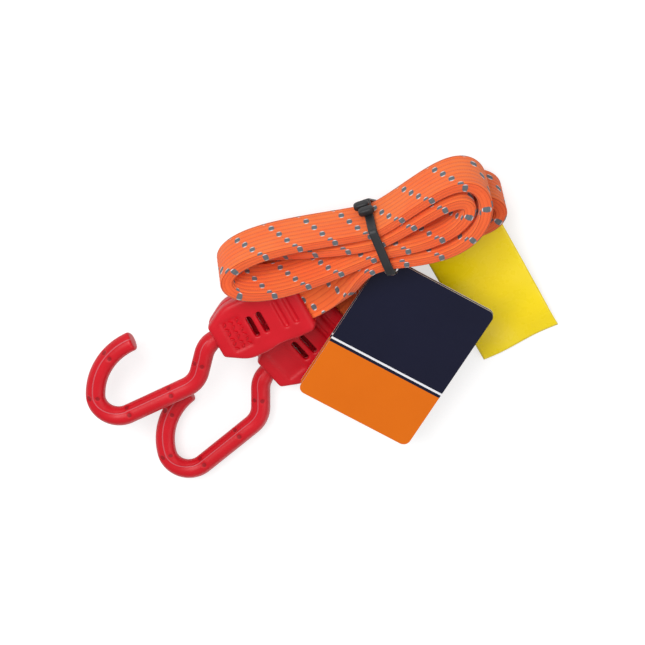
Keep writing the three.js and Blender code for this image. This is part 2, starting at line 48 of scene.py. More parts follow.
DRAWING_ORIGIN = np.array([-0.146, -6.314, 0.0])

# %% [markdown]
# ## Camera
# The photograph looks down on the bundle, tipped 22 degrees, through a long lens. A camera with no
# turn at all looks straight down with +Y up the picture, so one turn about X is enough. The lens
# follows from how wide a strip of the floor fills the picture at that distance.

# %% Camera
VIEW_TIP = np.radians(22)
VIEW_DISTANCE, PICTURE_WIDTH = 1.2, 0.258  # metres

camera_data = bpy.data.cameras.new("camera")
camera_data.sensor_width = 36
camera_data.lens = 36 * VIEW_DISTANCE / PICTURE_WIDTH
camera = bpy.data.objects.new("camera", camera_data)
camera.location = DRAWING_ORIGIN * MM + VIEW_DISTANCE * np.array([0, np.sin(VIEW_TIP), np.cos(VIEW_TIP)])
camera.rotation_euler = (-VIEW_TIP, 0, 0)
scene.collection.objects.link(camera)
scene.camera = camera
print("camera lens", round(camera_data.lens, 1), "mm")

# %% [markdown]
# ## Meshes from grids
# Nearly every piece here is a grid of points: rows along it, columns round it. The points come from
# numpy as whole arrays, and the faces follow from the grid's counts. A closed piece is turned
# outwards by the sign of the volume that its faces enclose.

# %% Grid helpers
UV_LENGTH = 100.0  # millimetres along a piece for each unit of its uv map


def unit(vectors):
    """Each vector divided by its own length."""
    return vectors / np.linalg.norm(vectors, axis=-1, keepdims=True)


def grid_faces(rows, columns, wrap):
    """Four-cornered faces between neighbouring rows and columns; wrap joins the last column to the first."""
    i, j = np.meshgrid(np.arange(rows - 1), np.arange(columns if wrap else columns - 1), indexing="ij")
    k = (j + 1) % columns
    corners = np.stack([i * columns + j, i * columns + k, (i + 1) * columns + k, (i + 1) * columns + j], -1)
    return corners.reshape(-1, 4)


def enclosed(points, faces):
    """Volume inside four-cornered faces: the sum over their triangles of a . (b x c) / 6."""
    a, b, c, d = (points[faces[:, n]] for n in range(4))
    return (np.einsum("ij,ij->", a, np.cross(b, c)) + np.einsum("ij,ij->", a, np.cross(c, d))) / 6


def make_piece(name, points, faces, material, uv=None):
    """A smooth piece at the origin from points in millimetres; uv has one pair for each face corner."""
    mesh = bpy.data.meshes.new(name)
    mesh.from_pydata((points * MM).tolist(), [], faces.tolist())
    if uv is not None:
        layer = mesh.uv_layers.new(name="lay")
        layer.data.foreach_set("uv", np.ascontiguousarray(uv, dtype=np.float32).ravel())
    mesh.polygons.foreach_set("use_smooth", np.ones(len(faces), bool))
    mesh.materials.append(material)
    piece = bpy.data.objects.new(name, mesh)
    scene.collection.objects.link(piece)
    print(name, len(points), "points", len(faces), "faces")
    return piece


def tube(name, rings, material, run, shares=None):
    """A closed tube through rings (rows x columns x 3), which lie at the distances in run. Both ends close
    on a last ring drawn to its middle. The uv map is (share of the way round, distance / UV_LENGTH)."""
    rows, columns, _ = rings.shape
    if shares is None:
        shares = np.arange(columns + 1) / columns
    ends = [np.repeat(rings[n].mean(0)[None, None], columns, 1) for n in (0, -1)]
    points = np.concatenate([ends[0], rings, ends[1]]).reshape(-1, 3)
    faces = grid_faces(rows + 2, columns, True)
    row, column = faces // columns, faces % columns
    step = np.where((column == 0) & (np.roll(column, 2, 1) > 0), columns, column)
    distance = np.concatenate([run[:1], run, run[-1:]])
    uv = np.stack([shares[step], distance[row] / UV_LENGTH], -1)
    if enclosed(points, faces) < 0:
        faces, uv = faces[:, ::-1], uv[:, ::-1]
    return make_piece(name, points, faces, material, uv.reshape(-1, 2))


print("grid helpers ready")

# %% Path helpers
def even(points, step, *others):
    """The path's points, and arrays that go with them, picked again at equal steps along it."""
    run = np.concatenate([[0], np.cumsum(np.linalg.norm(np.diff(points, axis=0), axis=1))])
    at = np.linspace(0, run[-1], int(run[-1] / step) + 1)
    pick = lambda values: np.stack([np.interp(at, run, column) for column in np.atleast_2d(values.T)], -1)
    return at, pick(points), *(pick(values) for values in others)


def bezier(a, b, c, d, t):
    """Cubic curve from a to d, drawn towards b and c on the way."""
    t = t[:, None]
    return (1 - t) ** 3 * a + 3 * (1 - t) ** 2 * t * b + 3 * (1 - t) * t**2 * c + t**3 * d


def carry(profile, centres, wides, thin):
    """A profile carried along a path: centre + first coordinate x thin along heading x wide, + second
    coordinate along wide."""
    heading = unit(np.gradient(centres, axis=0))
    side = unit(np.cross(heading, wides))
    flat = profile[..., :1] * thin[:, None, None] * side[:, None]
    return centres[:, None] + flat + profile[..., 1:] * wides[:, None]


def ease(t):
    """A smooth step from 0 to 1: t squared times (3 - 2t)."""
    return t * t * (3 - 2 * t)


print("path helpers ready")

# %% [markdown]
# ## Wiring materials
# Each finish is a small net of nodes. A few helpers keep the wiring readable: one for sums, one that
# turns a value into a soft 0-to-1 mask, one that mixes two colours, and so on. Colours are written as
# they look on a screen, 0 to 255, and are turned into the linear values that the shader wants.

# %% Material helpers
def tint(red, green, blue):
    """Screen colour to linear light: ((c + 0.055) / 1.055) to the power 2.4."""
    return (*(((np.array([red, green, blue]) / 255 + 0.055) / 1.055) ** 2.4).tolist(), 1.0)


def finish(name, **sockets):
    """A new material and its node tree, with plain values set on the shader's own sockets."""
    material = bpy.data.materials.new(name)
    material.use_nodes = True
    shader = material.node_tree.nodes["Principled BSDF"]
    for socket, value in sockets.items():
        shader.inputs[socket.replace("_", " ")].default_value = value
    return material, material.node_tree, shader


def join(tree, value, socket):
    """Links an output to an input, or writes a plain value there."""
    if isinstance(value, bpy.types.NodeSocket):
        tree.links.new(value, socket)
    else:
        socket.default_value = value


def sums(tree, operation, *values):
    """One Math node."""
    node = tree.nodes.new("ShaderNodeMath")
    node.operation = operation
    for value, socket in zip(values, node.inputs):
        join(tree, value, socket)
    return node.outputs[0]


def mask(tree, value, low, high):
    """0 below low, 1 above high, smooth between; low above high turns it round."""
    node = tree.nodes.new("ShaderNodeMapRange")
    node.interpolation_type = "SMOOTHSTEP"
    for socket, number in (("From Min", low), ("From Max", high)):
        node.inputs[socket].default_value = number
    join(tree, value, node.inputs["Value"])
    return node.outputs["Result"]


def mix(tree, share, first, second):
    """Colour first at share 0, second at share 1."""
    node = tree.nodes.new("ShaderNodeMix")
    node.data_type = "RGBA"
    join(tree, share, node.inputs[0])
    join(tree, first, node.inputs[6])
    join(tree, second, node.inputs[7])
    return node.outputs[2]


def grain(tree, scale, detail=3.0):
    """Noise on Object coordinates, scale in waves per metre."""
    node = tree.nodes.new("ShaderNodeTexNoise")
    node.inputs["Scale"].default_value = scale
    node.inputs["Detail"].default_value = detail
    place = tree.nodes.new("ShaderNodeTexCoord")
    tree.links.new(place.outputs["Object"], node.inputs["Vector"])
    return node.outputs["Fac"]


def lay_parts(tree):
    """The two coordinates of the uv map: round the piece and along it."""
    lay = tree.nodes.new("ShaderNodeUVMap")
    lay.uv_map = "lay"
    parts = tree.nodes.new("ShaderNodeSeparateXYZ")
    tree.links.new(lay.outputs["UV"], parts.inputs[0])
    return parts.outputs["X"], parts.outputs["Y"]


def emboss(tree, shader, height, depth):
    """Bump whose full height is depth, in metres."""
    node = tree.nodes.new("ShaderNodeBump")
    node.inputs["Distance"].default_value = depth
    tree.links.new(height, node.inputs["Height"])
    tree.links.new(node.outputs["Normal"], shader.inputs["Normal"])


print("material helpers ready")

# %% [markdown]
# ## Strap: the line it follows
# The strap is one unbroken ribbon. It leaves the upper housing, runs through the waist, swells into a
# loop on the right, comes back, loops on the left, and so on until it enters the lower housing. A
# cloth simulation would not keep such a neat fold, so the line is written as formulas: in each loop
# the distance from the waist is a half sine, and the height of the lobe is a cosine with a bulge.

# %% Strap: the hank's frame and runs
STRAP_WIDTH, STRAP_THICKNESS = 18.0, 5.2
WAIST = np.array([18.5, 58.4, 0.0])
HANK_HEADING, HANK_LEAN = np.radians(18), np.radians(20)
WAIST_PITCH, WAIST_THICKNESS, WAIST_LIFT = 4.6, 3.7, 2.9
NEAR_GAP, FAR_ASIDE = 2.4, 15
ALONG = np.array([np.cos(HANK_HEADING), np.sin(HANK_HEADING), 0.0])
ACROSS = np.array([-ALONG[1], ALONG[0], 0.0])
UP = np.array([0.0, 0.0, 1.0])
LEANING = UP * np.cos(HANK_LEAN) - ACROSS * np.sin(HANK_LEAN)
NEAR, FAR = 1.5 * STRAP_WIDTH + NEAR_GAP, 0.5 * STRAP_WIDTH
TOP, UPPER, LOWER, TAIL_A = ((1.5 * WAIST_PITCH - n * WAIST_PITCH, NEAR) for n in range(4))
FAR_TOP = (TOP[0] - FAR_ASIDE, FAR)
TAIL_B = (FAR_TOP[0] - WAIST_PITCH, FAR)


def hank_point(u, q, b):
    """The waist + u along the runs + q across them + b up the leaning strap, in the row frame."""
    u, q, b = (np.asarray(n, float)[..., None] for n in (u, q, b))
    return DRAWING_ORIGIN + WAIST + u * ALONG + q * ACROSS + b * LEANING


print("runs across the waist", [round(run[0], 1) for run in (TOP, UPPER, LOWER, TAIL_A, FAR_TOP, TAIL_B)])

# %% Strap: loops
LOOPS = [  # from, to, reach, half height, aside, side of the waist
    (TAIL_A, TOP, 43.2, 11.3, 5.0, 1),
    (TOP, LOWER, 61.5, 8.0, -0.1, -1),
    (LOWER, UPPER, 36.6, 5.1, 3.85, 1),
    (UPPER, FAR_TOP, 50.0, 5.1, -3.0, -1),
    (FAR_TOP, TAIL_B, 46.6, 7.0, -3.9, 1),
]
SWELL_POWER = 1.24
WIDEST = SWELL_POWER / (1 + SWELL_POWER)


def loop_line(start, end, reach, half_height, aside, way, t):
    """One loop for t from 0 to 1. With c = cos(pi t) and s = sin(pi t), the place across is the runs' middle
    - c x (half their spacing + bulge x s to the swell power) + aside x s squared; the reach is a half sine.
    The bulge brings the lobe to half_height from its middle where it is widest, at s squared = WIDEST."""
    c, s = np.cos(np.pi * t), np.sin(np.pi * t)
    half = (end[0] - start[0]) / 2
    bulge = (half_height / np.sqrt(1 - WIDEST) - abs(half)) / WIDEST ** (SWELL_POWER / 2)
    q = (start[0] + end[0]) / 2 - c * (half + np.sign(half) * bulge * s**SWELL_POWER) + aside * s**2
    b = start[1] + (end[1] - start[1]) * ease(np.minimum(1, 2 * t)) + WAIST_LIFT * (1 - s**2)
    return hank_point(way * reach * s, q, b)


turn = np.arange(96) / 96
hank_line = np.concatenate([loop_line(*loop, turn) for loop in LOOPS])
hank_swell = np.tile(np.sin(np.pi * turn) ** 2, len(LOOPS))
print("hank line", len(hank_line), "points")

# %% Strap: hook ends and tails
HOUSING_LENGTH, HOUSING_HEIGHT = 39.0, 12.4
LEAD, LEAVE, ENTER, INSIDE = 3.7, 10, 14, 25


def end_frame(mouth, heading, rise):
    """Nose point and axes (along to the mouth, sideways, up) of a housing."""
    h, r = np.radians(heading), np.radians(rise)
    x = np.array([np.cos(h) * np.cos(r), np.sin(h) * np.cos(r), np.sin(r)])
    y = np.array([-np.sin(h), np.cos(h), 0.0])
    return DRAWING_ORIGIN + np.array(mouth) - HOUSING_LENGTH * x, np.stack([x, y, np.cross(x, y)])


END_A = end_frame([-7.2, 19, 20.8], 27.6, 3)
END_B = end_frame([8, 7.4, HOUSING_HEIGHT / 2], 41, 0)


def in_end(end, points):
    """Points of a housing's own frame in the row frame."""
    return end[0] + np.asarray(points, float) @ end[1]


def tail_line(run, end):
    """A tail from the waist's lead to the inside of a housing: line, wide direction and squeeze."""
    start = hank_point(-LEAD, run[0], run[1] + WAIST_LIFT)
    stops = HOUSING_LENGTH, HOUSING_LENGTH + ENTER, INSIDE
    mouth, ahead, inside = in_end(end, [[stop, 0, 0] for stop in stops])
    t = np.linspace(0, 1, 80)
    curve = bezier(start, start - LEAVE * ALONG, ahead, mouth, t)
    share = np.append(ease(t), 1)[:, None]
    wide = unit(LEANING * (1 - share) - end[1][1] * share)
    return np.vstack([curve, inside]), wide, share[:, 0]


print("noses", END_A[0].round(2), END_B[0].round(2))

# %% Strap: the whole line
tail_a, wide_a, share_a = tail_line(TAIL_A, END_A)
tail_b, wide_b, share_b = tail_line(TAIL_B, END_B)
waist_end = hank_point(0, TAIL_B[0], TAIL_B[1] + WAIST_LIFT)[None]
strap_line = np.vstack([tail_a[::-1], hank_line, waist_end, tail_b])
strap_wide = np.vstack([wide_a[::-1], np.tile(LEANING, (len(hank_line) + 1, 1)), wide_b])
waist_thin = WAIST_THICKNESS / STRAP_THICKNESS
swell = np.concatenate([share_a[::-1], hank_swell, [0], share_b])
strap_thin = waist_thin + (1 - waist_thin) * swell
strap_run, strap_line, strap_wide, strap_thin = even(strap_line, 0.9, strap_wide, strap_thin)
strap_wide, strap_thin = unit(strap_wide), strap_thin[:, 0]
print("strap", round(strap_run[-1]), "mm long,", len(strap_line), "rings")

# %% [markdown]
# ## Strap: its section
# The sleeve is woven over rubber strands, so each face has eight lengthwise ribs and each edge has
# three narrow ones, with a crease between face and edge. The outline is a rectangle with rounded
# corners, pushed in at every groove. Its length round, the girth, is also the pattern's ruler.

# %% Strap: profile
FACE_RIB, EDGE_RIB, GROOVE, CORNER = STRAP_WIDTH / 8, STRAP_THICKNESS / 3, 0.3, 0.9


def strap_profile():
    """Section points (thickness, width) and girth at each. Face and edge are straight, corners are quarter
    circles; every point moves inwards by GROOVE x (1 - |sin| to the power 0.6) of its place on the rib."""
    a, b, r = STRAP_THICKNESS / 2, STRAP_WIDTH / 2, CORNER
    face = np.linspace(-b + r, b - r, 40)
    edge = np.linspace(a - r, r - a, 12)[1:-1]
    bow = np.radians(np.linspace(0, 90, 7))[1:-1]
    side = np.vstack([
        np.stack([np.full(40, a), face], -1),
        np.stack([a - r + r * np.cos(bow), b - r + r * np.sin(bow)], -1),
        np.stack([edge, np.full(10, b)], -1),
        np.stack([r - a - r * np.sin(bow), b - r + r * np.cos(bow)], -1),
    ])
    girth = np.concatenate([face, b + np.linspace(-r, 0.5, 7)[1:-1],
                            b + a - edge, b + 2 * a + np.linspace(-0.5, r, 7)[1:-1]])
    rib = np.where(girth < b, (girth + b) / FACE_RIB, (girth - b) / EDGE_RIB)
    depth = GROOVE * (1 - np.abs(np.sin(np.pi * rib)) ** 0.6)
    middle = np.stack([np.clip(side[:, 0], r - a, a - r), np.clip(side[:, 1], r - b, b - r)], -1)
    side = side - depth[:, None] * unit(side - middle)
    return np.vstack([side, -side]), np.concatenate([girth, girth + 2 * (a + b)])


section, section_girth = strap_profile()
GIRTH = 2 * (STRAP_WIDTH + STRAP_THICKNESS)
print("section", len(section), "points, girth", GIRTH, "mm")

# %% [markdown]
# ## Strap: weave and reflective threads
# A grey reflective thread winds round the sleeve and shows as slanted rows of dots, with a painted
# highlight at the two tips of each dot. On the edges the dots are longer. A uv map that measures round and
# along the strap lets the rows follow every fold, which object coordinates could not do.

# %% Strap: material
ROW_SPACING, DOT_SPACING = 13.7, 4.5
DOT_ON_FACE, DOT_ON_EDGE, DOT_ALONG = 1.5, 2.3, 1.12  # half sizes
strap_cloth, tree, shader = finish("strap_cloth", Roughness=0.78, Sheen_Weight=0.15, Sheen_Roughness=0.5)
share, length = lay_parts(tree)
around = sums(tree, "MULTIPLY", share, GIRTH)
along = sums(tree, "MULTIPLY", length, UV_LENGTH)
across = sums(tree, "FLOORED_MODULO", sums(tree, "ADD", around, STRAP_WIDTH / 2), GIRTH / 2)
on_edge = mask(tree, across, STRAP_WIDTH - 0.01, STRAP_WIDTH + 0.01)


def past_middle(value, spacing, shift=0.0):
    """How far a value lies past the nearest multiple of spacing, below 0 before it."""
    moved = sums(tree, "ADD", value, spacing / 2 + shift)
    return sums(tree, "SUBTRACT", sums(tree, "FLOORED_MODULO", moved, spacing), spacing / 2)


def from_middle(value, spacing, shift=0.0):
    """Distance to the nearest multiple of spacing."""
    return sums(tree, "ABSOLUTE", past_middle(value, spacing, shift))


def either(on_face, at_edge):
    """The face's value on the faces and the edge's on the edges."""
    gap = sums(tree, "SUBTRACT", at_edge, on_face)
    return sums(tree, "MULTIPLY_ADD", gap, on_edge, on_face)


past_edge = sums(tree, "SUBTRACT", across, STRAP_WIDTH + STRAP_THICKNESS / 2)
past_dot = either(past_middle(across, DOT_SPACING), past_edge)
dot_place = sums(tree, "SUBTRACT", around, past_dot)
slant = sums(tree, "MULTIPLY_ADD", dot_place, 2 * ROW_SPACING / GIRTH, along)
dot_off = sums(tree, "DIVIDE", sums(tree, "ABSOLUTE", past_dot), either(DOT_ON_FACE, DOT_ON_EDGE))
dot_row = sums(tree, "DIVIDE", from_middle(slant, ROW_SPACING), DOT_ALONG)
dot_power = sums(tree, "ADD", sums(tree, "POWER", dot_off, 2.0), sums(tree, "POWER", dot_row, 2.4))
dot = mask(tree, dot_power, 1.15, 0.85)
# Painted highlight: the two tips of each dot are made pale.
tip = sums(tree, "MULTIPLY", dot, mask(tree, dot_off, 0.58, 0.82))
print("dot rows every", ROW_SPACING, "mm")

# %% Strap: ribs in the material
THREAD = 0.75
face_rib = sums(tree, "DIVIDE", from_middle(across, FACE_RIB), FACE_RIB / 2)
edge_rib = sums(tree, "DIVIDE", from_middle(across, EDGE_RIB, -STRAP_WIDTH), EDGE_RIB / 2)
groove = mask(tree, either(face_rib, edge_rib), 0.42, 0.0)
ladder = sums(tree, "SINE", sums(tree, "MULTIPLY", along, 2 * np.pi / THREAD))
weft = sums(tree, "SINE", sums(tree, "MULTIPLY", around, 2 * np.pi / THREAD))
weave = sums(tree, "MULTIPLY_ADD", sums(tree, "MULTIPLY", ladder, weft), 0.5, 0.5)
# Painted shade in the rib grooves, broken into dashes by the weave.
groove_shade = sums(tree, "MULTIPLY", groove, sums(tree, "MULTIPLY_ADD", ladder, 0.3, 0.7))
fade = mask(tree, grain(tree, 60), 0.35, 0.65)
orange = mix(tree, fade, tint(255, 112, 44), tint(255, 124, 52))
orange = mix(tree, sums(tree, "MULTIPLY", weave, 0.18), orange, tint(228, 76, 26))
# Painted shade: the edge bands are darker than the faces, as they turn away from the light.
orange = mix(tree, sums(tree, "MULTIPLY", on_edge, 0.45), orange, tint(226, 70, 26))
orange = mix(tree, sums(tree, "MULTIPLY", groove_shade, 0.5), orange, tint(206, 54, 18))
# Painted shade: a dark line along each crease between a face and an edge.
rim = either(sums(tree, "MINIMUM", across, sums(tree, "SUBTRACT", STRAP_WIDTH, across)), STRAP_WIDTH / 2)
crease_shade = mask(tree, rim, 0.55, 0.0)
orange = mix(tree, sums(tree, "MULTIPLY", crease_shade, 0.75), orange, tint(150, 26, 10))
# The dots' own grey, with the painted highlight at their tips.
grey = mix(tree, tip, tint(96, 104, 110), tint(236, 232, 232))
tree.links.new(mix(tree, dot, orange, grey), shader.inputs["Base Color"])
emboss(tree, shader, sums(tree, "MULTIPLY_ADD", dot, 0.6, weave), 0.00012)
print("strap material", len(tree.nodes), "nodes")

# %% Strap: piece
ABOVE_FLOOR = 0.02
strap_rings = carry(section, strap_line, strap_wide, strap_thin)
strap_rings[..., 2] = np.maximum(strap_rings[..., 2], ABOVE_FLOOR)
girth_share = np.append(section_girth, section_girth[0] + GIRTH) / GIRTH
strap = tube("strap", strap_rings, strap_cloth, strap_run, girth_share)
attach(strap, "cord")
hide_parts("strap_hank", "strap_tail_a", "strap_tail_b")

# %% [markdown]
# ## Red moulding
# Housings and hooks are one satin plastic. Its colour drifts a little, and a fine grain breaks up the
# highlight. A plain roughness would look like a toy, so noise drives the roughness too. A moulding has no
# sharp corners, so each CAD shell is filled with small cubes and smoothed. That rounds its edges and its
# slots at once, and the CAD mesh itself stays as it is.

# %% Red moulding: material
def moulded(name, screen_colour, darker, roughness, coarse):
    """Satin plastic: two close tints by slow noise, roughness by finer noise, and a fine bump."""
    material, tree, shader = finish(name, Specular_IOR_Level=0.35)
    slow = mask(tree, grain(tree, coarse), 0.3, 0.7)
    tree.links.new(mix(tree, slow, tint(*screen_colour), tint(*darker)), shader.inputs["Base Color"])
    fine = grain(tree, 900, 4)
    rough = sums(tree, "MULTIPLY_ADD", fine, 0.16, roughness - 0.08)
    tree.links.new(rough, shader.inputs["Roughness"])
    emboss(tree, shader, grain(tree, 2600, 2), 0.00003)
    return material, tree, shader


red_moulding, _, _ = moulded("red_moulding", (208, 12, 32), (198, 6, 26), 0.42, 70)
print("red moulding ready")

# %% Red moulding: shells
CUBE, SMOOTH_PASSES, WELD_WITHIN = 0.3, 40, 0.01


def dress(node, material):
    """A CAD node keeps its shape and gets the material."""
    piece = nodes[node]
    piece.data.materials.clear()
    piece.data.materials.append(material)
    return piece


def soften(node, material):
    """A CAD node with moulded corners: Weld joins its loose triangles, cubes of side CUBE fill it, and each
    smoothing pass rounds them."""
    piece = dress(node, material)
    weld = piece.modifiers.new("weld", "WELD")
    weld.merge_threshold = WELD_WITHIN * MM
    fill = piece.modifiers.new("fill", "REMESH")
    fill.mode = "VOXEL"
    fill.voxel_size = CUBE * MM
    fill.use_smooth_shade = True
    smooth = piece.modifiers.new("smooth", "SMOOTH")
    smooth.factor = 0.5
    smooth.iterations = SMOOTH_PASSES


for letter in "ab":
    for half in ("front", "back"):
        soften(f"housing_{letter}_{half}_shell", red_moulding)
print("shells dressed")

# %% [markdown]
# ## Hooks
# Each hook is plastic moulded over a wire: a rod that jogs aside, runs out and curls back. The mould's
# two halves leave a fine raised line, and pairs of ejector pins leave round marks beside it. The rod is
# a near-round section carried along its line, with the line and the marks worked into the surface.

# %% Hooks: line
ROD_RADIUS, SHANK = 3.7, 9.6
JOG, ELBOW, CURL, BEND = 4.6, (16.2, 13.2), 47.2, 5.0
CURL_RADIUS, CURL_TURN, TIP_RADIUS, TIP_TURN = 8.8, np.radians(118), 26.5, np.radians(63)


def hook_line():
    """The rod's line in the housing's frame: straight, two quadratic bends, an arc and a wider arc."""
    def bow(a, b, c):
        t = np.linspace(0, 1, 24)[:, None]
        return (1 - t) ** 2 * a + 2 * t * (1 - t) * b + t**2 * c

    def arc(centre, radius, first_turn, last_turn):
        a = np.linspace(first_turn, last_turn, 60)
        return centre + radius * np.stack([np.sin(a), np.cos(a)], -1)

    jog, elbow = np.array([JOG, 0]), np.array(ELBOW)
    slope = unit(elbow - jog) * BEND
    first = bow(jog - [BEND, 0], jog, jog + slope)
    second = bow(elbow - slope, elbow, elbow + [BEND, 0])
    centre = np.array([CURL, ELBOW[1] - CURL_RADIUS])
    curl = arc(centre, CURL_RADIUS, 0, CURL_TURN)
    wider = curl[-1] + (centre - curl[-1]) * TIP_RADIUS / CURL_RADIUS
    tip = arc(wider, TIP_RADIUS, CURL_TURN, CURL_TURN + TIP_TURN)
    flat = np.vstack([[-SHANK, 0], first, second, curl, tip[1:]])
    return np.column_stack([-flat, np.zeros(len(flat))])


rod_run, rod_line = even(hook_line(), 0.42)
print("hook rod", round(rod_run[-1]), "mm")

# %% Hooks: surface
SQUARE, PROUD, STEP_DOWN, RIDGE, RIDGE_TURN = 2.4, 0.2, 0.22, 0.26, 0.06
MARK_START, MARK_SPACING, MARK_RADIUS, MARK_ASIDE, DIMPLE = 6.0, 19.0, 1.05, 1.75, 0.3
FLANGE, FLANGE_START, FLANGE_END = 0.8, 2.8, 4.6
LINE_SIDE = np.array([-0.195, 0.541, 0.817])
TIP_RINGS = ((0.5, 0.95), (0.85, 0.86), (1.0, 0.68))  # ahead of the end, share of the section kept


def hook_rings(end):
    """Rings of the rod. Radius by angle w: a rounded square (power SQUARE), less STEP_DOWN on one side of the
    mould's line, plus a ridge on the line itself, where w is a quarter or three quarters of a turn, less a
    dimple at each pin mark; round where it turns in the nose, with a flange that keeps it there."""
    w = 2 * np.pi * np.arange(72) / 72
    outside = ease(np.clip((rod_run - SHANK - 0.5) / 4, 0, 1))[:, None]
    square = (np.abs(np.cos(w)) ** SQUARE + np.abs(np.sin(w)) ** SQUARE) ** (-1 / SQUARE)
    shape = (ROD_RADIUS + PROUD) * square - STEP_DOWN * (np.cos(w) > 0.01)
    ridge = RIDGE * np.exp(-((np.abs(w % np.pi - np.pi / 2) / RIDGE_TURN) ** 2))
    beside = np.abs(ROD_RADIUS * np.abs(w - np.pi / 2) - MARK_ASIDE)
    ahead = (rod_run + MARK_START) % MARK_SPACING - MARK_SPACING / 2
    away = np.hypot(beside[None], ahead[:, None])
    dimple = DIMPLE * ease(np.clip((MARK_RADIUS + 0.25 - away) / 0.5, 0, 1))
    flange = FLANGE * ((rod_run > FLANGE_START) & (rod_run < FLANGE_END))[:, None]
    radius = ROD_RADIUS + flange + outside * (shape + ridge - dimple - ROD_RADIUS)
    profile = radius[..., None] * np.stack([np.cos(w), np.sin(w)], -1)[None]
    centres = in_end(end, rod_line)
    heading = unit(np.gradient(centres, axis=0))
    lift = unit(LINE_SIDE - heading * (heading @ LINE_SIDE)[:, None])
    return carry(profile, centres, lift, np.ones(len(centres))), heading[-1]


def hook_tip(rings, heading):
    """More rings that round the flat-cut tip, each ahead of the end and drawn in as TIP_RINGS says."""
    last, middle = rings[-1], rings[-1].mean(0)
    more = [middle + (last - middle) * keep + heading * ahead for ahead, keep in TIP_RINGS]
    return np.concatenate([rings, np.stack(more)])


print("marks every", MARK_SPACING, "mm")

# %% Hooks: material
hook_red, tree, shader = moulded("hook_red", (208, 14, 32), (198, 8, 26), 0.4, 60)
share, length = lay_parts(tree)
half_turn = sums(tree, "FLOORED_MODULO", share, 0.5)
seam = mask(tree, sums(tree, "ABSOLUTE", sums(tree, "SUBTRACT", half_turn, 0.25)), 0.012, 0.004)
beyond_nose = mask(tree, length, 0.11, 0.13)
plain = shader.inputs["Base Color"].links[0].from_socket
line = sums(tree, "MULTIPLY", seam, sums(tree, "MULTIPLY", beyond_nose, 0.6))
pale = mix(tree, line, plain, tint(206, 112, 122))
aside = sums(tree, "MULTIPLY", sums(tree, "SUBTRACT", share, 0.25), 2 * np.pi * ROD_RADIUS)
beside = sums(tree, "SUBTRACT", sums(tree, "ABSOLUTE", aside), MARK_ASIDE)
mark_run = sums(tree, "MULTIPLY_ADD", length, UV_LENGTH, MARK_START)
ahead = sums(tree, "SUBTRACT", sums(tree, "FLOORED_MODULO", mark_run, MARK_SPACING), MARK_SPACING / 2)
squares = sums(tree, "ADD", sums(tree, "MULTIPLY", beside, beside), sums(tree, "MULTIPLY", ahead, ahead))
away = sums(tree, "SQRT", squares)
# Painted shade: the pin marks are darkened where they sink into the rod.
pin_hole_shade = sums(tree, "MULTIPLY", mask(tree, away, MARK_RADIUS, MARK_RADIUS - 0.3), beyond_nose)
marked = mix(tree, sums(tree, "MULTIPLY", pin_hole_shade, 0.7), pale, tint(130, 8, 20))
tree.links.new(marked, shader.inputs["Base Color"])
print("hook material", len(tree.nodes), "nodes")

# %% Hooks: pieces
tip_run = rod_run[-1] + np.array([ahead for ahead, _ in TIP_RINGS])
for letter, end in (("a", END_A), ("b", END_B)):
    rings = hook_tip(*hook_rings(end))
    rod = tube(f"hook_{letter}_rod", rings, hook_red, np.append(rod_run, tip_run))
    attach(rod, f"hook_{letter}")
    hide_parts(f"hook_{letter}_cover")

# %% [markdown]
# ## Tread bars
# The upper housing's sunk panel carries rows of short bars, each turned against its neighbour, as on
# tread plate. Each bar is the upper half of a stretched ball with blunt ends, all in one mesh.

# %% Tread bars: blunt balls
def superball(lowest, rings, columns, power):
    """A blunt ball from latitude lowest up to 90 degrees: cos(v) cos(w), cos(v) sin(w) and sin(v), where
    every sine and cosine keeps its sign and its size is raised to the power."""
    v = np.radians(np.linspace(lowest, 90, rings))[:, None]
    w = 2 * np.pi * np.arange(columns)[None] / columns
    soft = lambda n: np.sign(n) * np.abs(n) ** power
    x, y = soft(np.cos(v)) * soft(np.cos(w)), soft(np.cos(v)) * soft(np.sin(w))
    return np.stack([x, y, soft(np.sin(v)) + 0 * w], -1)


def ball_faces(count, rings, columns):
    """Faces of count such balls whose points follow one another."""
    one = grid_faces(rings, columns, True)
    return np.concatenate([one + n * rings * columns for n in range(count)])


print("blunt balls ready")

# %% Tread bars: piece
BAR_SIZE, BAR_TURN, BAR_RINGS, BAR_SIDES = (0.95, 0.3, 1.05), np.radians(40), 6, 16
BAR_ROWS, BAR_PLACES, PANEL_DEPTH = [6.9, 9.6, 12.3], np.linspace(-5.4, 5.4, 6), 0.75
bar_x, bar_y = np.meshgrid(BAR_ROWS, BAR_PLACES, indexing="ij")
panel_top = np.full(bar_x.shape, HOUSING_HEIGHT / 2 - PANEL_DEPTH)
places = np.stack([bar_x, bar_y, panel_top], -1).reshape(-1, 1, 1, 3)
odd = np.indices(bar_x.shape).sum(0).reshape(-1, 1, 1) % 2
c, s = np.cos(BAR_TURN), np.sin(np.where(odd, BAR_TURN, -BAR_TURN))
x, y, z = np.moveaxis(superball(0, BAR_RINGS, BAR_SIDES, 0.7) * BAR_SIZE, -1, 0)
bars = places + np.stack([c * x - s * y, s * x + c * y, z + 0 * s], -1)
bar_faces = ball_faces(len(bars), BAR_RINGS, BAR_SIDES)
tread = make_piece("tread_bars", in_end(END_A, bars.reshape(-1, 3)), bar_faces, red_moulding)
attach(tread, "cord")

# %% [markdown]
# ## Hidden steel
# The wires, ferrules and pins are inside the plastic, but they show through the slots and when a piece
# is taken apart. Plain steel has a fine grain, so noise drives its roughness as well as its colour.

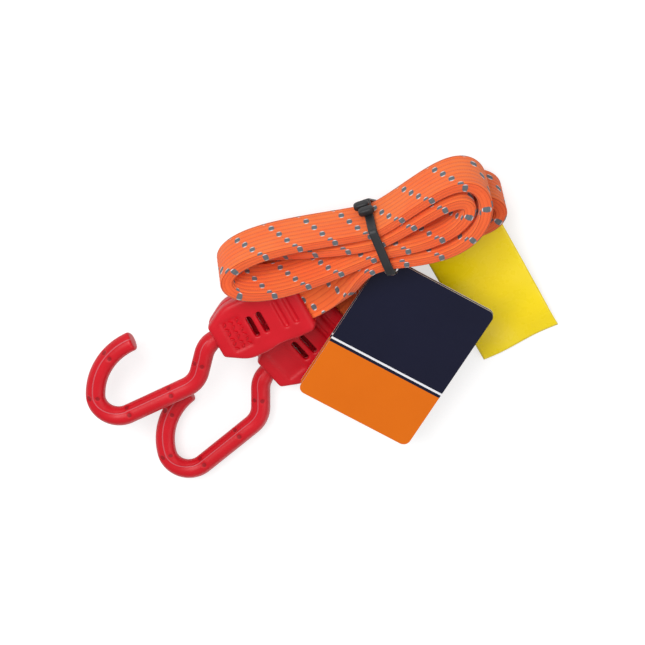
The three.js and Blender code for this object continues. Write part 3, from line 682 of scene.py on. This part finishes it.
# %% Hidden steel
steel, tree, shader = finish("steel", Metallic=1.0)
grey = mix(tree, grain(tree, 300), tint(168, 171, 175), tint(140, 143, 148))
tree.links.new(grey, shader.inputs["Base Color"])
tree.links.new(sums(tree, "MULTIPLY_ADD", grain(tree, 1500), 0.3, 0.2), shader.inputs["Roughness"])
emboss(tree, shader, grain(tree, 3000), 0.00002)
for name in nodes:
    if "core" in name or "ferrule" in name or "pin" in name:
        dress(name, steel)
print("steel nodes dressed")

# %% [markdown]
# ## Cable tie
# The tie is black nylon, matt with a soft sheen. A tight band round a bundle takes the shortest way, so
# its line is the outline of the runs' corners, moved outwards: for every direction, the corner that lies
# furthest that way plus a step in that direction. The card's slack adds one more corner, and the whole
# band is slid along the runs a little more towards the card, which slants it.

# %% Cable tie: line
TIE_STEP, CARD_SLACK, CARD_LIFT = 1.2, 7.7, 5.0


def band_line():
    """The band's closed line in (across, up), evenly stepped, round the corners of the four outer runs and
    the slack. A corner lies thick beside its run and wide up the lean, both turned by that lean."""
    across, up = np.array([TOP, TAIL_A, FAR_TOP, TAIL_B]).T[..., None]
    thick = WAIST_THICKNESS * np.array([-0.5, 0.5, -0.5, 0.5])
    wide = up + WAIST_LIFT + STRAP_WIDTH * np.array([-0.5, -0.5, 0.5, 0.5])
    c, s = np.cos(HANK_LEAN), np.sin(HANK_LEAN)
    corners = np.stack([across + c * thick - s * wide, s * thick + c * wide], -1)
    slack = corners[1, 1] + [-CARD_SLACK - WAIST_THICKNESS, CARD_LIFT]
    corners = np.vstack([corners.reshape(-1, 2), slack])
    angle = np.linspace(0, 2 * np.pi, 721)
    away = np.stack([np.cos(angle), np.sin(angle)], -1)
    return even(corners[np.argmax(corners @ away.T, 0)] + TIE_STEP * away, 0.5)[1][:-1]


tie_line = band_line()
print("tie line", len(tie_line), "points")

# %% Cable tie: band
TIE_WIDTH, TIE_THICKNESS, TIE_SIDES, TIE_SQUARE = 3.4, 1.2, 20, 5
TIE_SHIFT, TIE_SLANT = -1.2, 0.07
tie_black, _, _ = moulded("tie_black", (44, 44, 46), (36, 36, 38), 0.46, 90)
ahead = unit(np.roll(tie_line, -1, 0) - np.roll(tie_line, 1, 0))
out = np.stack([ahead[:, 1], -ahead[:, 0]], -1)
w = 2 * np.pi * np.arange(TIE_SIDES) / TIE_SIDES
oval = (np.abs(np.cos(w)) ** TIE_SQUARE + np.abs(np.sin(w)) ** TIE_SQUARE) ** (-1 / TIE_SQUARE)
thick, side = oval * np.cos(w) * TIE_THICKNESS / 2, oval * np.sin(w) * TIE_WIDTH / 2
flat = tie_line[:, None] + thick[None, :, None] * out[:, None]
slide = TIE_SHIFT - TIE_SLANT * flat[..., :1] + side[None, :, None]
band = DRAWING_ORIGIN + WAIST + flat[..., :1] * ACROSS + flat[..., 1:] * UP + slide * ALONG
faces = grid_faces(len(tie_line) + 1, TIE_SIDES, True)[:, ::-1] % (TIE_SIDES * len(tie_line))
tie_band = make_piece("tie_band", band.reshape(-1, 3), faces, tie_black)
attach(tie_band, "cord")
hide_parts("tie")

# %% Cable tie: head
OUTWARD = np.cross(LEANING, ALONG)
HEAD_AXES = np.stack([ALONG, OUTWARD, LEANING])
HEAD_SIZE, HEAD_RINGS, HEAD_SIDES = (3.1, 1.6, 1.7), 19, 32
HEAD_PLACES = np.array([[-0.6, 0, -4.6], [0.8, 0, -0.6]]).reshape(2, 1, 1, 3)  # in the head's axes
HEAD_BACK, HEAD_OUT = 2.4, 5.2
head_foot = hank_point(-HEAD_BACK, TOP[0], TOP[1] + WAIST_LIFT) + HEAD_OUT * OUTWARD
block = superball(-90, HEAD_RINGS, HEAD_SIDES, 0.6) * HEAD_SIZE
blocks = head_foot + (HEAD_PLACES + block) @ HEAD_AXES
block_faces = ball_faces(len(blocks), HEAD_RINGS, HEAD_SIDES)
tie_head = make_piece("tie_head", blocks.reshape(-1, 3), block_faces, tie_black)
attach(tie_head, "cord")

# %% [markdown]
# ## Card
# A folded card hangs on the tie: coated board with a dark field, a bright band at the foot and pale
# raw edges. A Mapping node turns object coordinates into the card's own, so the bands run square to it.

# %% Card
CARD_HANG, FOOT_FROM, RULE_AT = (0.02638, 0.02738, 0.02741), -0.0396, -0.0379  # metres
CARD_DROP, CARD_TURN = np.radians(6.5), np.radians(-29.6)
card_print, tree, shader = finish("card_print", Specular_IOR_Level=0.2)
place = tree.nodes.new("ShaderNodeTexCoord")
own = tree.nodes.new("ShaderNodeMapping")
own.vector_type = "TEXTURE"
own.inputs["Location"].default_value = CARD_HANG
own.inputs["Rotation"].default_value = (CARD_DROP, 0, CARD_TURN)
tree.links.new(place.outputs["Object"], own.inputs["Vector"])
parts = tree.nodes.new("ShaderNodeSeparateXYZ")
tree.links.new(own.outputs["Vector"], parts.inputs[0])
foot = mask(tree, parts.outputs["Y"], FOOT_FROM, FOOT_FROM - 0.00015)
from_rule = sums(tree, "ABSOLUTE", sums(tree, "SUBTRACT", parts.outputs["Y"], RULE_AT))
rule = mask(tree, from_rule, 0.0005, 0.0004)
navy = mix(tree, grain(tree, 40), tint(22, 24, 48), tint(17, 19, 40))
amber = mix(tree, grain(tree, 40), tint(226, 112, 12), tint(216, 104, 8))
board = mix(tree, rule, mix(tree, foot, navy, amber), tint(232, 232, 236))
facing = tree.nodes.new("ShaderNodeVectorMath")
facing.operation = "DOT_PRODUCT"
tilt = np.sin(CARD_DROP)
facing.inputs[1].default_value = (tilt * np.sin(CARD_TURN), -tilt * np.cos(CARD_TURN), np.cos(CARD_DROP))
tree.links.new(place.outputs["Normal"], facing.inputs[0])
raw = mask(tree, sums(tree, "ABSOLUTE", facing.outputs["Value"]), 0.6, 0.4)
tree.links.new(mix(tree, raw, board, tint(214, 208, 200)), shader.inputs["Base Color"])
tree.links.new(sums(tree, "MULTIPLY_ADD", grain(tree, 500), 0.2, 0.32), shader.inputs["Roughness"])
emboss(tree, shader, grain(tree, 1200), 0.00002)
for leaf in ("card_front_leaf", "card_back_leaf"):
    dress(leaf, card_print)
print("card dressed")

# %% [markdown]
# ## Film flag
# A strip of yellow film is tucked under the straps. Film never lies quite flat, so each leaf is a grid
# with a slow wave that grows from the held end to the free one; Solidify gives it its thickness.

# %% Film flag
FLAG_LEVEL, FLAG_END_LEVEL = 13.5, 1.2
FLAG_CORNER, FLAG_HEADING = np.array([40.5, 32.3, FLAG_LEVEL]), np.radians(27)
FLAG_WIDTH, FLAG_LENGTH, FLAG_SHORTER, FILM = 33.0, 54.7, 10.0, 0.3
FLAG_SLOPE = np.arcsin((FLAG_LEVEL - FLAG_END_LEVEL) / FLAG_LENGTH)
FILM_ROWS, FILM_COLUMNS, LOWER_LEVEL = 60, 34, -0.4
film_yellow, tree, shader = finish("film_yellow", Specular_IOR_Level=0.5)
tree.links.new(mix(tree, grain(tree, 50), tint(255, 228, 4), tint(250, 216, 0)), shader.inputs["Base Color"])
tree.links.new(sums(tree, "MULTIPLY_ADD", grain(tree, 220), 0.2, 0.18), shader.inputs["Roughness"])
emboss(tree, shader, grain(tree, 160), 0.00012)


def film_leaf(name, node, length, top):
    """A leaf x across and y down the flag. Its height is top - FILM / 2 + grow x (0.55 sin(0.19 x + 0.11 y)
    + 0.3 sin(0.31 y - 0.1 x)), where grow eases from 0 at the held end to 1 after 40 mm."""
    x, y = np.meshgrid(np.linspace(0, FLAG_WIDTH, FILM_COLUMNS), np.linspace(0, -length, FILM_ROWS))
    grow = ease(np.clip(-y / 40, 0, 1))
    z = top - FILM / 2 + grow * (0.55 * np.sin(0.19 * x + 0.11 * y) + 0.3 * np.sin(0.31 * y - 0.1 * x))
    c, s = np.cos(FLAG_SLOPE), np.sin(FLAG_SLOPE)
    h, k = np.cos(FLAG_HEADING), np.sin(FLAG_HEADING)
    down, lift = c * y - s * z, s * y + c * z
    points = np.stack([h * x - k * down, k * x + h * down, lift], -1) + FLAG_CORNER + DRAWING_ORIGIN
    faces = grid_faces(FILM_ROWS, FILM_COLUMNS, False)[:, ::-1]
    leaf = make_piece(name, points.reshape(-1, 3), faces, film_yellow)
    wall = leaf.modifiers.new("film", "SOLIDIFY")
    wall.thickness = FILM * MM
    wall.offset = 0
    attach(leaf, "cord")
    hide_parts(node)


film_leaf("film_upper_leaf", "flag_front_leaf", FLAG_LENGTH, FILM)
film_leaf("film_lower_leaf", "flag_back_leaf", FLAG_LENGTH - FLAG_SHORTER, LOWER_LEVEL)

# %% [markdown]
# ## Floor and light
# The bundle lies on a pale sheet under soft light. The world gives about half of the light from all
# sides, a large key lamp gives most of the rest and a weak one fills the shadows, so a colour renders
# about as it is written. To the camera the floor adds a glow, which makes it white and still lets the
# shadow show.

# %% Floor
floor_sheet, tree, shader = finish("floor_sheet", Roughness=0.9)
shader.inputs["Base Color"].default_value = (0.5, 0.5, 0.5, 1)
path = tree.nodes.new("ShaderNodeLightPath")
seen = sums(tree, "ADD", path.outputs["Is Camera Ray"], path.outputs["Is Glossy Ray"])
seen = sums(tree, "MINIMUM", sums(tree, "ADD", seen, path.outputs["Is Transmission Ray"]), 1.0)
shader.inputs["Emission Color"].default_value = (1, 1, 1, 1)
tree.links.new(sums(tree, "MULTIPLY", seen, 0.62), shader.inputs["Emission Strength"])
FLOOR_HALF, FLOOR_LEVEL = 1500, -0.1
corners = FLOOR_HALF * np.array([[-1, -1, 0], [1, -1, 0], [1, 1, 0], [-1, 1, 0]]) + [0, 0, FLOOR_LEVEL]
floor = make_piece("floor", corners, np.array([[0, 1, 2, 3]]), floor_sheet)

# %% Light
world = bpy.data.worlds.new("studio")
world.use_nodes = True
world.node_tree.nodes["Background"].inputs["Color"].default_value = (1, 1, 1, 1)
world.node_tree.nodes["Background"].inputs["Strength"].default_value = 0.44
scene.world = world


def soft_lamp(name, place, watts, size):
    """A square lamp that faces the middle of the bundle."""
    data = bpy.data.lights.new(name, "AREA")
    data.energy, data.size = watts, size
    lamp = bpy.data.objects.new(name, data)
    lamp.location = place
    away = np.array(place) - np.array([0, 0, 0.01])
    tip = np.arccos(away[2] / np.linalg.norm(away))
    lamp.rotation_euler = (0, tip, np.arctan2(away[1], away[0]))
    scene.collection.objects.link(lamp)


soft_lamp("key", (-0.35, 0.55, 0.95), 9.6, 0.7)
soft_lamp("fill", (0.7, -0.3, 0.8), 2.4, 0.8)
print("lamps placed")
